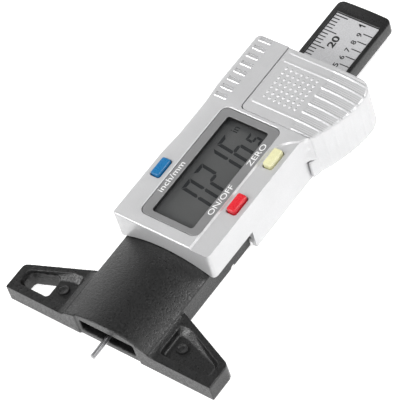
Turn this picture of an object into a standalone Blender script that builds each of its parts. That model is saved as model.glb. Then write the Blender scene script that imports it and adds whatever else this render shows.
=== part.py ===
"""Digital tire tread depth gauge, lying on its back with the display up.

The gauge frame has Y = 0 at the foot's measuring face, +Y along the slide towards its free end,
+X towards the on/off button and Z = 0 under the foot and the back cover. An empty moves all of it
so that the world origin is under the middle of the gauge's box. Sizes are in millimetres here,
and the helpers turn them into metres.
"""

import math

import bmesh
import bpy
from mathutils import Matrix, Vector

MM = 0.001
GAP = 0.3  # between pieces that sit on or in each other
ROUND = 28  # sides of a small turned piece

# Foot: wings, neck and tongue
FOOT_HALF = 30.0
FOOT_THICK = 5.0
WING_END = 7.2  # depth of the wing's end
WING_ROOT = 14.1  # depth of the wing where it meets the neck
NECK_HALF = 12.33
NECK_EDGE = 5.7  # height of the neck's side walls
CROWN_TOP = 8.5
CROWN_RADIUS = (NECK_HALF**2 + (CROWN_TOP - NECK_EDGE) ** 2) / (2 * (CROWN_TOP - NECK_EDGE))
NECK_END = 26.2
TONGUE_END = 39.1
TONGUE_TOP = 5.5
WINDOW_BLOCK_HALF = 8.9
WINDOW_BLOCK_RECESS = 0.27
POCKET_FLOOR = 3.65
POCKET_INNER = 14.4
POCKET_OUTER = 27.5
BOSS_AT = (17.5, 6.2)

# Slide
BEAM_HALF = 7.63
BEAM_LOW = 2.1
BEAM_TOP = 5.5
BEAM_START = 20.4
BEAM_END = 106.9
LABEL_HALF = 6.2
LABEL_END = 103.05
LABEL_START = 32.0
LABEL_TOP = 5.2
CHANNEL_HALF = 7.85
CHANNEL_LOW = 1.9
CHANNEL_TOP = 5.7
PIN_RADIUS = 0.65
PIN_TIP = -5.6
PIN_END = 29.6
PIN_HEIGHT = 3.6

# Housing
HOUSING_HALF = 14.0
HOUSING_TOP = 14.3
HOUSING_START = 24.5
HOUSING_END = 83.7
SKIN = 1.3
CEILING = HOUSING_TOP - SKIN
INNER_HALF = HOUSING_HALF - SKIN
STEP_AT = 39.3  # the side walls reach the ground behind this
STEP_HEIGHT = 5.8
WAIST = 0.5
STRIP_EDGE = 8.5
STRIP_DEPTH = 0.4
FLARE_LOW = 6.3
REAR_RIGHT = 13.4  # the shell's right wall under the battery cover
BAY_LOW = 7.2
BAY_TOP = 12.6

# Display
BEZEL_HALF = 8.35
BEZEL_START = 27.8
BEZEL_END = 62.05
BEZEL_TOP = 14.1
VIEW_HALF = 5.95
VIEW_START = 29.4
VIEW_END = 60.1
WINDOW_TOP = 13.25
PANEL_TOP = 12.0
PANEL_THICK = 1.6

# Board
BOARD_LOW = 5.9
BOARD_TOP = 6.9
BOARD_START = 28.0
BOARD_END = 77.5

# Battery and its cover
BATTERY_AT = (6.0, 73.3)
BATTERY_RADIUS = 5.8
BATTERY_LOW = 7.6
BATTERY_TOP = 13.0
COVER_LEFT = -4.7
COVER_START = 63.35
COVER_LOW = 0.5
COVER_WIDEST = (19.6, 78.5)
COVER_DROP = 1.4  # at 10 mm past the line where the top begins to fall
COVER_FALL_AT = 9.5
RAIL_EDGE = 14.2  # the shell's rail that the cover hooks under

# Buttons
BUTTONS = {
    "inch_mm": (-11.1, 40.2),
    "on_off": (11.2, 39.9),
    "zero": (11.2, 54.4),
}
CAP_HALF = (1.2, 2.6)
CAP_TOP = 15.0
FLANGE_HALF = (1.2, 3.3)
STEM_LOW = 8.3

# Screws
BACK_SCREWS = [(-10.9, 46.5), (10.9, 46.5), (-9.8, 79.9), (9.8, 79.9)]
FOOT_SCREWS = {"left": (-10.1, 33.0), "right": (10.1, 33.0)}
BOARD_SCREWS = [(-10.85, 60.3), (10.85, 60.3)]
POST_RADIUS = 1.6
THREAD_RADIUS = 0.65
HEAD_RADIUS = 1.5

MID_Y = (PIN_TIP + BEAM_END) / 2


def clear_scene():
    for obj in list(bpy.data.objects):
        bpy.data.objects.remove(obj, do_unlink=True)


def finish_material(name, color, roughness, metallic=0.0, alpha=1.0):
    material = bpy.data.materials.new(name)
    material.use_nodes = True
    shader = material.node_tree.nodes["Principled BSDF"]
    shader.inputs["Base Color"].default_value = (*color, 1.0)
    shader.inputs["Roughness"].default_value = roughness
    shader.inputs["Metallic"].default_value = metallic
    shader.inputs["Alpha"].default_value = alpha
    return material


# ---------------------------------------------------------------- outlines

def rounded(corners, steps=5):
    """Outline from (x, y, radius) corners, each rounded with an arc."""
    points = []
    count = len(corners)
    for i, (x, y, radius) in enumerate(corners):
        here = Vector((x, y))
        if radius <= 0:
            points.append((x, y))
            continue
        back = (Vector(corners[i - 1][:2]) - here).normalized()
        ahead = (Vector(corners[(i + 1) % count][:2]) - here).normalized()
        half = back.angle(ahead) / 2
        centre = here + (back + ahead).normalized() * (radius / math.sin(half))
        first = here + back * (radius / math.tan(half)) - centre
        last = here + ahead * (radius / math.tan(half)) - centre
        turn = first.angle_signed(last)
        for k in range(steps + 1):
            spoke = first.copy()
            spoke.rotate(Matrix.Rotation(-turn * k / steps, 2))
            points.append(tuple(centre + spoke))
    return points


def box_outline(x0, x1, y0, y1, radius=0.0):
    return rounded([(x0, y0, radius), (x1, y0, radius), (x1, y1, radius), (x0, y1, radius)])


def bend(start, control, end, steps=8):
    """Points along a quadratic curve, without its last one."""
    points = []
    for k in range(steps):
        t = k / steps
        x = (1 - t) ** 2 * start[0] + 2 * t * (1 - t) * control[0] + t**2 * end[0]
        y = (1 - t) ** 2 * start[1] + 2 * t * (1 - t) * control[1] + t**2 * end[1]
        points.append((x, y))
    return points


def crown_arc(half, radius, lift=0.0, steps=16):
    """Points (x, z) over the neck from +half to -half."""
    centre = CROWN_TOP - CROWN_RADIUS
    points = []
    for k in range(steps + 1):
        x = half * (1 - 2 * k / steps)
        points.append((x, centre + math.sqrt(radius**2 - x**2) + lift))
    return points


# ---------------------------------------------------------------- solids

def object_from(name, mesh_builder, material=None):
    mesh = bpy.data.meshes.new(name)
    bmesh.ops.recalc_face_normals(mesh_builder, faces=mesh_builder.faces)
    mesh_builder.to_mesh(mesh)
    mesh_builder.free()
    obj = bpy.data.objects.new(name, mesh)
    bpy.context.scene.collection.objects.link(obj)
    obj.parent = datum
    if material:
        mesh.materials.append(material)
    return obj


def prism(name, outline, low, high, material=None, axis="Z"):
    """Outline swept along an axis: (x, y) along Z, or (x, z) along Y."""
    build = bmesh.new()
    place = {
        "Z": lambda a, b, c: (a, b, c),
        "Y": lambda a, b, c: (a, c, b),
    }[axis]
    base = [build.verts.new(Vector(place(a, b, low)) * MM) for a, b in outline]
    face = build.faces.new(base)
    swept = bmesh.ops.extrude_face_region(build, geom=[face])
    moved = [item for item in swept["geom"] if isinstance(item, bmesh.types.BMVert)]
    bmesh.ops.translate(build, verts=moved, vec=Vector(place(0, 0, high - low)) * MM)
    return object_from(name, build, material)


def block(name, x0, x1, y0, y1, z0, z1, material=None):
    return prism(name, box_outline(x0, x1, y0, y1), z0, z1, material)


def turned(name, profile, at, material=None, axis="Z", sides=ROUND):
    """Solid of revolution from (radius, height) points, about an axis through a point."""
    build = bmesh.new()
    rings = []
    for radius, height in profile:
        ring = []
        for k in range(sides):
            angle = 2 * math.pi * k / sides
            across = Vector((radius * math.cos(angle), radius * math.sin(angle), height))
            if axis == "Y":
                across = Vector((across.x, across.z, across.y))
            ring.append(build.verts.new(across * MM))
        rings.append(ring)
    for lower, upper in zip(rings, rings[1:]):
        for k in range(sides):
            n = (k + 1) % sides
            build.faces.new((lower[k], lower[n], upper[n], upper[k]))
    build.faces.new(rings[0])
    build.faces.new(rings[-1])
    obj = object_from(name, build, material)
    obj.location = Vector(at) * MM
    for polygon in obj.data.polygons:
        polygon.use_smooth = True
    obj.data.set_sharp_from_angle(angle=math.radians(35))
    return obj


def combine(target, other, operation):
    """Boolean with a helper solid, which then stays out of the build."""
    modifier = target.modifiers.new(f"{operation.lower()} {other.name}", "BOOLEAN")
    modifier.operation = operation
    modifier.solver = "EXACT"
    modifier.object = other
    other.hide_render = True
    other.display_type = "WIRE"
    return target


def cut(target, *others):
    for other in others:
        combine(target, other, "DIFFERENCE")


def join(target, *others):
    for other in others:
        combine(target, other, "UNION")


def keep(target, other):
    combine(target, other, "INTERSECT")


def hole(name, at, radius, low, high, sides=20):
    return turned(name, [(radius, low), (radius, high)], (at[0], at[1], 0), sides=sides)


# ---------------------------------------------------------------- foot

def wing_pocket_outline(side):
    far = WING_ROOT - 3.7
    corners = [
        (POCKET_INNER, 2.6, 0.7),
        (POCKET_OUTER, 2.6, 1.2),
        (POCKET_OUTER, 6.1, 1.2),
        (POCKET_INNER + 1.9, far, 0.9),
        (POCKET_INNER, far, 0.7),
    ]
    outline = rounded(corners)
    return [(side * x, y) for x, y in outline]


def foot_base(material):
    wing = rounded([
        (-FOOT_HALF, 0, 0),
        (FOOT_HALF, 0, 0),
        (FOOT_HALF, WING_END, 2.0),
        (NECK_HALF, WING_ROOT, 0),
        (-NECK_HALF, WING_ROOT, 0),
        (-FOOT_HALF, WING_END, 2.0),
    ])
    foot = prism("foot_base", wing, 0, FOOT_THICK, material)
    profile = [(-NECK_HALF, 0), (NECK_HALF, 0)] + crown_arc(NECK_HALF, CROWN_RADIUS)
    join(
        foot,
        prism("neck_tool", profile, 0, NECK_END, axis="Y"),
        block("tongue_tool", -NECK_HALF, NECK_HALF, NECK_END - 1, TONGUE_END, 0, TONGUE_TOP),
    )
    cut(
        foot,
        block("channel_tool", -CHANNEL_HALF, CHANNEL_HALF, -1, 50, CHANNEL_LOW, CHANNEL_TOP),
        block("tray_tool", -CHANNEL_HALF, CHANNEL_HALF, NECK_END + 0.2, 50, CHANNEL_LOW + 0.5, 9),
        block("recess_tool", -WINDOW_BLOCK_HALF, WINDOW_BLOCK_HALF, -1, WINDOW_BLOCK_RECESS, -1, 12),
    )
    slot = rounded([(-27.3, 2.65, 1.0), (-20.0, 2.65, 1.0), (-20.0, 8.4, 1.0), (-27.3, 5.7, 1.0)])
    cut(
        foot,
        prism("left_pocket_tool", wing_pocket_outline(-1)[::-1], POCKET_FLOOR, 6),
        prism("right_pocket_tool", wing_pocket_outline(1), POCKET_FLOOR, 6),
        prism("slot_tool", slot, -1, 6),
    )
    for side in (-1, 1):
        boss = [(1.5, POCKET_FLOOR - 0.5), (1.5, POCKET_FLOOR + 0.55)]
        join(foot, turned(f"boss_tool_{side}", boss, (side * BOSS_AT[0], BOSS_AT[1], 0)))
    for name, at in FOOT_SCREWS.items():
        cut(
            foot,
            hole(f"foot_hole_tool_{name}", at, THREAD_RADIUS + GAP, -1, 8),
            hole(f"foot_sink_tool_{name}", at, HEAD_RADIUS + GAP, -1, 1.5),
        )
    for side in (-1, 1):
        edge = side * NECK_HALF
        cut(foot, block(f"notch_tool_{side}", edge - 0.8, edge + 0.8, 31.3, 32.6, -1, 0.6))
    return foot


# ---------------------------------------------------------------- housing

def shell_outline():
    half = HOUSING_HALF
    return rounded([
        (-half, HOUSING_START, 1.2),
        (half, HOUSING_START, 1.2),
        (half, COVER_START - GAP, 0),
        (REAR_RIGHT, COVER_START - GAP, 0),
        (REAR_RIGHT, HOUSING_END, 0.5),
        (-half, HOUSING_END, 2.2),
        (-half, 66.5, 6.0),
        (-half + WAIST, 61.0, 6.0),
        (-half + WAIST, 50.5, 6.0),
        (-half, 44.0, 6.0),
    ])


def strip_outline():
    curve = bend((STRIP_EDGE, 53.5), (STRIP_EDGE + 0.5, 61.0), (HOUSING_HALF + 1, 61.9))
    return [(STRIP_EDGE, 20.0)] + curve + [(HOUSING_HALF + 1, 61.9), (HOUSING_HALF + 1, 20.0)]


def screw_posts(shell):
    """Posts under the ceiling that take the screws, each with its pilot hole."""
    posts = {f"back_{i}": (at, 2.0) for i, at in enumerate(BACK_SCREWS)}
    posts |= {f"foot_{name}": (at, TONGUE_TOP + GAP) for name, at in FOOT_SCREWS.items()}
    posts |= {f"board_{i}": (at, BOARD_TOP + GAP) for i, at in enumerate(BOARD_SCREWS)}
    for name, (at, low) in posts.items():
        join(shell, hole(f"post_{name}", at, POST_RADIUS, low, CEILING + 0.5))
    for name, (at, low) in posts.items():
        cut(shell, hole(f"pilot_{name}", at, THREAD_RADIUS + GAP, low - 1, 10.5))


def housing_shell(material):
    shell = prism("housing_shell", shell_outline(), 0, HOUSING_TOP, material)
    flare = [(HOUSING_HALF - 1, 60.0), (HOUSING_HALF, 60.3), (HOUSING_HALF + 0.5, 61.4)]
    flare += [(15.7, COVER_START - GAP), (HOUSING_HALF - 1, COVER_START - GAP)]
    rail = block("rail_tool", REAR_RIGHT - 0.5, RAIL_EDGE, 65.2, 81.9, 5.0, 6.2)
    join(shell, prism("flare_tool", flare, FLARE_LOW, HOUSING_TOP), rail)
    back = HOUSING_END - SKIN
    inner = REAR_RIGHT - SKIN
    cut(
        shell,
        block("low_cavity_tool", -INNER_HALF, inner, HOUSING_START + SKIN, back, -1, BAY_LOW),
        block("front_cavity_tool", -INNER_HALF, INNER_HALF, HOUSING_START + SKIN, 62.9, -1, CEILING),
        block("left_cavity_tool", -INNER_HALF, -5.9, 62.0, back, 5, CEILING),
    )
    screw_posts(shell)
    arch = [(-NECK_HALF - GAP, -1), (NECK_HALF + GAP, -1)]
    arch += crown_arc(NECK_HALF + GAP, CROWN_RADIUS, lift=GAP)
    cut(
        shell,
        prism("arch_tool", arch, HOUSING_START - 2, HOUSING_START + SKIN + 0.5, axis="Y"),
        block("step_tool", -20, 20, HOUSING_START - 2, STEP_AT, -1, STEP_HEIGHT),
        block("beam_slot_tool", -7.95, 7.95, back - 1, HOUSING_END + 1, 1.7, 5.9),
        prism("strip_tool", strip_outline(), HOUSING_TOP - STRIP_DEPTH, 16),
    )
    opening = box_outline(
        -BEZEL_HALF - GAP, BEZEL_HALF + GAP, BEZEL_START - GAP, BEZEL_END + GAP, 2.1
    )
    bay = rounded([
        (COVER_LEFT - GAP, COVER_START - GAP, 1.7),
        (25, COVER_START - GAP, 0),
        (25, 90, 0),
        (COVER_LEFT - GAP, 90, 0),
    ])
    cut(
        shell,
        prism("display_tool", opening, CEILING - 0.5, 16),
        prism("bay_tool", bay, BAY_TOP, 16),
        block("lip_groove_tool", -6.4, -3.6, COVER_START, 90, 11.9, BAY_TOP + 0.5),
        hole("battery_tool", BATTERY_AT, BATTERY_RADIUS + GAP, BAY_LOW - 1, 16, sides=40),
        block("contact_slot_tool", -1.6, 1.5, 71.1, 75.5, BAY_LOW - 1, BAY_TOP + 0.5),
    )
    for name, (x, y) in BUTTONS.items():
        outline = box_outline(
            x - CAP_HALF[0] - GAP, x + CAP_HALF[0] + GAP, y - CAP_HALF[1] - GAP, y + CAP_HALF[1] + GAP, 0.8
        )
        cut(shell, prism(f"button_hole_{name}", outline, CEILING - 0.5, 16))
    return shell


def back_cover(material):
    right = REAR_RIGHT - SKIN - GAP
    half = INNER_HALF - GAP
    end = HOUSING_END - SKIN - GAP
    outline = [
        (-half, STEP_AT + GAP),
        (half, STEP_AT + GAP),
        (half, 62.6),
        (right, 62.6),
        (right, end),
        (-half, end),
    ]
    cover = prism("back_cover", outline, 0, 1.7, material)
    join(
        cover,
        block("right_guide_tool", 7.9, 8.8, STEP_AT + GAP, BOARD_END, 1, 5.3),
        block("left_guide_tool", -9.05, -8.5, STEP_AT + GAP, BOARD_END, 1, 5.3),
    )
    for i, at in enumerate(BACK_SCREWS):
        cut(
            cover,
            hole(f"back_hole_tool_{i}", at, THREAD_RADIUS + GAP, -1, 3),
            hole(f"back_sink_tool_{i}", at, HEAD_RADIUS + GAP, -1, 1.05),
        )
    return cover


def cover_outline(inset=0.0):
    """Plan of the battery cover, whose right side bulges out for the thumb."""
    left = COVER_LEFT + inset
    front = COVER_START + inset
    back = HOUSING_END - inset
    wide = (COVER_WIDEST[0] - inset, COVER_WIDEST[1])
    points = rounded([(left, back, 0), (left, front, 1.5), (10.0, front, 0)])[:-1]
    points += bend((15.2 - inset, front), (18.6 - inset, 71.0), wide)
    points += bend(wide, (COVER_WIDEST[0] + 0.1 - inset, back), (16.2 - inset, back), 6)
    points.append((16.2 - inset, back))
    return points


def cover_height(x):
    """Top of the battery cover, which falls away towards its right side."""
    fall = max(0.0, (x - COVER_FALL_AT) / 10)
    return HOUSING_TOP - COVER_DROP * fall**2


def battery_cover(material):
    cover = prism("battery_cover", cover_outline(), COVER_LOW, HOUSING_TOP, material)
    over = [(-10.0, -5.0), (25.0, -5.0), (25.0, cover_height(20.0))]
    steps = 8
    for k in range(steps + 1):
        x = 20.0 - (20.0 - COVER_FALL_AT) * k / steps
        over.append((x, cover_height(x)))
    over.append((-10.0, HOUSING_TOP))
    keep(cover, prism("crown_tool", over, 60, 90, axis="Y"))
    side = REAR_RIGHT + GAP
    inner = [(side - 0.1, COVER_START + SKIN)]
    inner += [point for point in cover_outline(inset=SKIN) if point[0] > side]
    inner += [(side - 0.1, HOUSING_END - SKIN)]
    cut(
        cover,
        block("under_tool", -20, side, 60, 90, -5, HOUSING_TOP - 1.0),
        prism("bulge_tool", inner, COVER_LOW + SKIN, 11.7),
        block("rail_way_tool", 13, RAIL_EDGE + GAP, 60, COVER_START + SKIN + 0.5, 4.7, 6.5),
    )
    edge = (COVER_START + 1.5, HOUSING_END - 0.5)
    join(
        cover,
        block("lip_tool", -5.9, -3.9, *edge, 12.2, 12.7),
        block("riser_tool", -4.5, -3.9, *edge, 12.2, 13.6),
        block("hook_tool", side + 0.05, 17.0, 70.0, 81.5, 3.4, 4.7),
        block("web_tool", 16.0, 18.9, 76.5, 81.0, 3.4, 4.7),
        block("tab_tool", RAIL_EDGE + GAP, 15.9, 61.6, COVER_START + 1.0, 0.8, 6.0),
    )
    return cover


# ---------------------------------------------------------------- display and buttons

def lcd_bezel(material):
    outer = box_outline(-BEZEL_HALF, BEZEL_HALF, BEZEL_START, BEZEL_END, 1.8)
    bezel = prism("lcd_bezel", outer, 12.3, BEZEL_TOP, material)
    flange = box_outline(-8.3, 8.3, BEZEL_START - 0.8, BEZEL_END + 0.5, 1.0)
    join(bezel, prism("flange_tool", flange, 12.3, 12.7))
    view = box_outline(-VIEW_HALF, VIEW_HALF, VIEW_START, VIEW_END, 0.7)
    rebate = box_outline(-6.75, 6.75, VIEW_START - 0.8, VIEW_END + 0.8)
    cut(bezel, prism("view_tool", view, 11, 16), prism("rebate_tool", rebate, 11, WINDOW_TOP + 0.15))
    return bezel


def lcd_stack(clear, glass, rubber):
    outline = box_outline(-6.45, 6.45, VIEW_START - 0.5, VIEW_END + 0.5)
    prism("lcd_window", outline, WINDOW_TOP - 0.55, WINDOW_TOP - 0.15, clear)
    low = PANEL_TOP - PANEL_THICK
    block("lcd_panel", -7.4, 7.4, VIEW_START - 0.2, VIEW_END + 0.6, low, PANEL_TOP, glass)
    for name, side in (("left", -1), ("right", 1)):
        near, far = sorted((side * 5.6, side * 7.2))
        block(
            f"zebra_strip_{name}", near, far, VIEW_START + 0.6, VIEW_END - 0.2,
            BOARD_TOP + GAP, low - GAP, rubber,
        )


def button(name, at, material):
    x, y = at
    outline = box_outline(-CAP_HALF[0], CAP_HALF[0], -CAP_HALF[1], CAP_HALF[1], 0.55)
    cap = prism(f"button_{name}", outline, 12.2, CAP_TOP, material)
    cap.location = Vector((x, y, 0)) * MM
    rim = cap.modifiers.new("rounded rim", "BEVEL")
    rim.width = 0.25 * MM
    rim.segments = 2
    rim.limit_method = "ANGLE"
    rim.angle_limit = math.radians(60)
    flange = block(
        f"flange_{name}", x - FLANGE_HALF[0], x + FLANGE_HALF[0],
        y - FLANGE_HALF[1], y + FLANGE_HALF[1], 11.9, 12.65,
    )
    join(cap, flange, hole(f"stem_{name}", at, 0.8, STEM_LOW, 12.5, sides=16))


def snap_dome(name, at, material):
    low = BOARD_TOP + GAP
    turned(
        f"dome_{name}",
        [(1.45, low), (1.4, low + 0.15), (1.0, low + 0.4), (0.35, low + 0.5)],
        (at[0], at[1], 0),
        material,
        sides=20,
    )


# ---------------------------------------------------------------- board and battery

def circuit_board(material):
    outline = [
        (-12.3, 36.9), (-8.1, 36.9), (-8.1, BOARD_START), (8.1, BOARD_START),
        (8.1, 36.9), (12.3, 36.9), (12.3, 62.4), (11.8, 62.4),
        (11.8, BOARD_END), (-12.3, BOARD_END),
    ]
    board = prism("circuit_board", outline, BOARD_LOW, BOARD_TOP, material)
    for i, at in enumerate(BACK_SCREWS[:2]):
        cut(board, hole(f"board_notch_tool_{i}", at, POST_RADIUS + GAP + 0.1, 5, 8))
    for i, at in enumerate(BOARD_SCREWS):
        cut(board, hole(f"board_hole_tool_{i}", at, THREAD_RADIUS + GAP, 5, 8))


def battery_and_contacts(steel, bronze):
    edge = 0.3
    turned(
        "battery",
        [
            (4.7, BATTERY_LOW),
            (4.9, BATTERY_LOW + 0.5),
            (BATTERY_RADIUS, BATTERY_LOW + 0.9),
            (BATTERY_RADIUS, BATTERY_TOP - edge),
            (BATTERY_RADIUS - edge, BATTERY_TOP),
        ],
        (*BATTERY_AT, 0),
        steel,
        sides=40,
    )
    x, y = BATTERY_AT
    leaf = box_outline(x - 1.5, x + 1.5, y - 3.6, y + 3.6, 0.6)
    prism("battery_contact_negative", leaf, BATTERY_LOW - 0.35, BATTERY_LOW - 0.15, bronze)
    bow = [(-0.9, 7.4), (-0.65, 7.4), (-0.65, 8.4), (-0.2, 10.0), (-0.65, 11.6), (-0.65, 12.2)]
    bow += [(-0.9, 12.2), (-0.9, 11.6), (-0.45, 10.0), (-0.9, 8.4)]
    prism("battery_contact_positive", bow, y - 1.6, y + 1.6, bronze, axis="Y")


# ---------------------------------------------------------------- slide

def beam(material):
    outline = rounded([
        (-BEAM_HALF, BEAM_START, 0.4),
        (BEAM_HALF, BEAM_START, 0.4),
        (BEAM_HALF, BEAM_END, 2.0),
        (-BEAM_HALF, BEAM_END, 2.0),
    ])
    slide = prism("beam", outline, BEAM_LOW, BEAM_TOP, material)
    pin_room = turned(
        "pin_room_tool",
        [(PIN_RADIUS + GAP, BEAM_START - 1), (PIN_RADIUS + GAP, PIN_END + GAP)],
        (0, 0, PIN_HEIGHT),
        axis="Y",
    )
    recess = block(
        "recess_label_tool", -LABEL_HALF - GAP, LABEL_HALF + GAP,
        LABEL_START - GAP, LABEL_END + GAP, LABEL_TOP - 1.3, BEAM_TOP + 1,
    )
    cut(slide, recess, pin_room)


def scale(label_material, board_material):
    block(
        "scale_board", -LABEL_HALF, LABEL_HALF, LABEL_START, LABEL_END,
        LABEL_TOP - 1.0, LABEL_TOP - 0.6, board_material,
    )
    block(
        "scale_label", -LABEL_HALF, LABEL_HALF, LABEL_START, LABEL_END,
        LABEL_TOP - 0.3, LABEL_TOP, label_material,
    )


def probe_pin(material):
    profile = [
        (PIN_RADIUS - 0.15, PIN_TIP),
        (PIN_RADIUS, PIN_TIP + 0.15),
        (PIN_RADIUS, PIN_END),
    ]
    turned("probe_pin", profile, (0, 0, PIN_HEIGHT), material, axis="Y", sides=24)


def beam_leaf_spring(material):
    """Bowed strip between the left guide and the slide's side."""
    start, length, bow, thick = 52.0, 18.0, 0.4, 0.22
    steps = 10
    inner = []
    outer = []
    for k in range(steps + 1):
        rise = bow * math.sin(math.pi * k / steps)
        y = start + length * k / steps
        inner.append((-8.42 + rise + thick, y))
        outer.append((-8.42 + rise, y))
    prism("beam_leaf_spring", inner + outer[::-1], 2.4, 5.2, material)


# ---------------------------------------------------------------- screws

def screw(name, at, low, high, head, material):
    """Pan head screw standing on its head, with a cross recess."""
    body = turned(
        name,
        [
            (HEAD_RADIUS - 0.3, low),
            (HEAD_RADIUS, low + 0.3),
            (HEAD_RADIUS, low + head),
            (THREAD_RADIUS, low + head),
            (THREAD_RADIUS, high - 0.5),
            (0.15, high),
        ],
        (at[0], at[1], 0),
        material,
        sides=20,
    )
    x, y = at
    cut(
        body,
        block(f"{name}_cross_a", x - 0.85, x + 0.85, y - 0.17, y + 0.17, low - 1, low + 0.4),
        block(f"{name}_cross_b", x - 0.17, x + 0.17, y - 0.85, y + 0.85, low - 1, low + 0.4),
    )


def screws(steel):
    for i, at in enumerate(BACK_SCREWS, start=1):
        screw(f"back_screw_{i}", at, 0.05, 9.8, 0.7, steel)
    for name, at in FOOT_SCREWS.items():
        screw(f"foot_screw_{name}", at, 0.3, 9.8, 0.9, steel)
    for i, at in enumerate(BOARD_SCREWS, start=1):
        screw(f"board_screw_{i}", at, 4.7, 9.8, 0.9, steel)


# ---------------------------------------------------------------- assembly

clear_scene()
datum = bpy.data.objects.new("gauge_datum", None)
bpy.context.scene.collection.objects.link(datum)
datum.location = (0.0, -MID_Y * MM, 0.0)

black = finish_material("black moulding", (0.025, 0.025, 0.027), 0.45)
silver = finish_material("silver paint", (0.62, 0.62, 0.63), 0.35, 0.3)
grey = finish_material("grey bezel", (0.28, 0.28, 0.29), 0.5)
window_clear = finish_material("clear window", (0.8, 0.82, 0.82), 0.05, 0.0, 0.3)
panel_grey = finish_material("lcd panel", (0.11, 0.11, 0.11), 0.3)
rubber_black = finish_material("rubber", (0.05, 0.05, 0.05), 0.8)
board_green = finish_material("circuit board", (0.02, 0.12, 0.05), 0.4)
epoxy = finish_material("epoxy", (0.015, 0.015, 0.015), 0.3)
steel = finish_material("steel", (0.6, 0.6, 0.6), 0.25, 1.0)
bronze = finish_material("spring bronze", (0.6, 0.42, 0.2), 0.35, 1.0)
label = finish_material("scale label", (0.55, 0.55, 0.55), 0.5)
colors = {
    "inch_mm": finish_material("blue button", (0.02, 0.22, 0.55), 0.3),
    "on_off": finish_material("red button", (0.75, 0.04, 0.07), 0.3),
    "zero": finish_material("yellow button", (0.85, 0.83, 0.55), 0.3),
}

foot_base(black)
housing_shell(silver)
back_cover(silver)
battery_cover(silver)
lcd_bezel(grey)
lcd_stack(window_clear, panel_grey, rubber_black)
for name, at in BUTTONS.items():
    button(name, at, colors[name])
    snap_dome(name, at, steel)
circuit_board(board_green)
turned(
    "chip_cover",
    [(3.6, BOARD_TOP + GAP), (3.2, BOARD_TOP + 0.8), (1.8, BOARD_TOP + 1.3), (0.5, BOARD_TOP + 1.4)],
    (0, 45, 0),
    epoxy,
)
battery_and_contacts(steel, bronze)
beam(black)
scale(label, board_green)
probe_pin(steel)
beam_leaf_spring(bronze)
screws(steel)
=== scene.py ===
"""Looks of the tire tread gauge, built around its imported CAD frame.

Pieces are modelled in the gauge frame, in millimetres: Y = 0 at the foot's measuring face, +Y along
the slide towards its free end, +X towards the on/off button, Z = 0 under the foot. publish() turns
them into metres in the frame's own axes and fixes them to their body.
"""

import math

import bmesh
import bpy
import numpy as np
from mathutils import Matrix, Vector


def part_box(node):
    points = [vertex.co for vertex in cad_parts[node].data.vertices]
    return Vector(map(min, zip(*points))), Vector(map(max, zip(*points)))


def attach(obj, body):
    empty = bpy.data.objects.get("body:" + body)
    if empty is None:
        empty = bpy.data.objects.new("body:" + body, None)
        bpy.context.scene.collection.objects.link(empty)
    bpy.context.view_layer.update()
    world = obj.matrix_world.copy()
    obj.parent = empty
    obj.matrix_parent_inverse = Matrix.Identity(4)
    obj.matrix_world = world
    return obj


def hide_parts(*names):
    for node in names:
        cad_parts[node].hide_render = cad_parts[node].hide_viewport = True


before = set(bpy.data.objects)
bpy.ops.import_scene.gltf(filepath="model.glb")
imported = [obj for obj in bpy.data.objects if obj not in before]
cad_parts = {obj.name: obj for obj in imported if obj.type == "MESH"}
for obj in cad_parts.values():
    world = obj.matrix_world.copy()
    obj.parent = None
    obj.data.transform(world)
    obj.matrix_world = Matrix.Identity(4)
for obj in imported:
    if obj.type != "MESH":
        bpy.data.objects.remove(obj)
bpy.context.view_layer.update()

MM = 0.001
ORIGIN_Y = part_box("foot_base")[0].y / MM


def extent(node):
    """Lowest and highest corner of a CAD node, in the gauge frame."""
    low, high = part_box(node)
    shift = Vector((0, ORIGIN_Y, 0))
    return low / MM - shift, high / MM - shift


FOOT_HIGH = extent("foot_base")[1]
SHELL_LOW, SHELL_HIGH = extent("housing_shell")
COVER_HIGH = extent("battery_cover")[1]
BEZEL_LOW, BEZEL_HIGH = extent("lcd_bezel")
WINDOW_LOW, WINDOW_HIGH = extent("lcd_window")
PANEL_LOW, PANEL_HIGH = extent("lcd_panel")
BEAM_LOW, BEAM_HIGH = extent("beam")
LABEL_LOW, LABEL_HIGH = extent("scale_label")
PIN_LOW, PIN_HIGH = extent("probe_pin")
PLATE_LOW, PLATE_HIGH = extent("back_cover")

# Places past the gauge, where cutters start and end
OUTSIDE = -1
PAST_TONGUE = 50
PAST_SIDE = 25
PAST_REAR = 90
PAST_TOP = 16

# Foot
WING_TOP = 5.0
WING_END = 7.2
WING_ROOT = 14.1
NECK_HALF = 12.33
NECK_EDGE = 5.7
CROWN_TOP = FOOT_HIGH.z
CROWN_RADIUS = (NECK_HALF**2 + (CROWN_TOP - NECK_EDGE) ** 2) / (2 * (CROWN_TOP - NECK_EDGE))
NECK_END = 26.2
TONGUE_TOP = 5.45
MOUTH_HALF = 8.9
MOUTH_RECESS = 0.27
CHANNEL_HALF = 7.85
CHANNEL_LOW = 1.9
CHANNEL_TOP = 5.7
POCKET_FLOOR = 3.65
BANK_END = 12.95
NOTCH = (31.3, 32.6)
GROOVE_AT = 8.75
BOSS_AT = (17.5, 6.2)
BOSS_PROFILE = (
    (1.5, POCKET_FLOOR - 0.6), (1.5, 4.08), (1.42, 4.18), (1.12, 4.2), (1.02, 4.14),
    (1.0, 4.0), (0.92, 3.94), (0.3, 3.94),
)

# Screws, each pair given by the one on the right
SCREW_HOLE = 0.95
FOOT_SCREW = (10.1, 33.0)
FRONT_SCREW = (10.9, 46.5)
REAR_SCREW = (9.8, 79.9)

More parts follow.
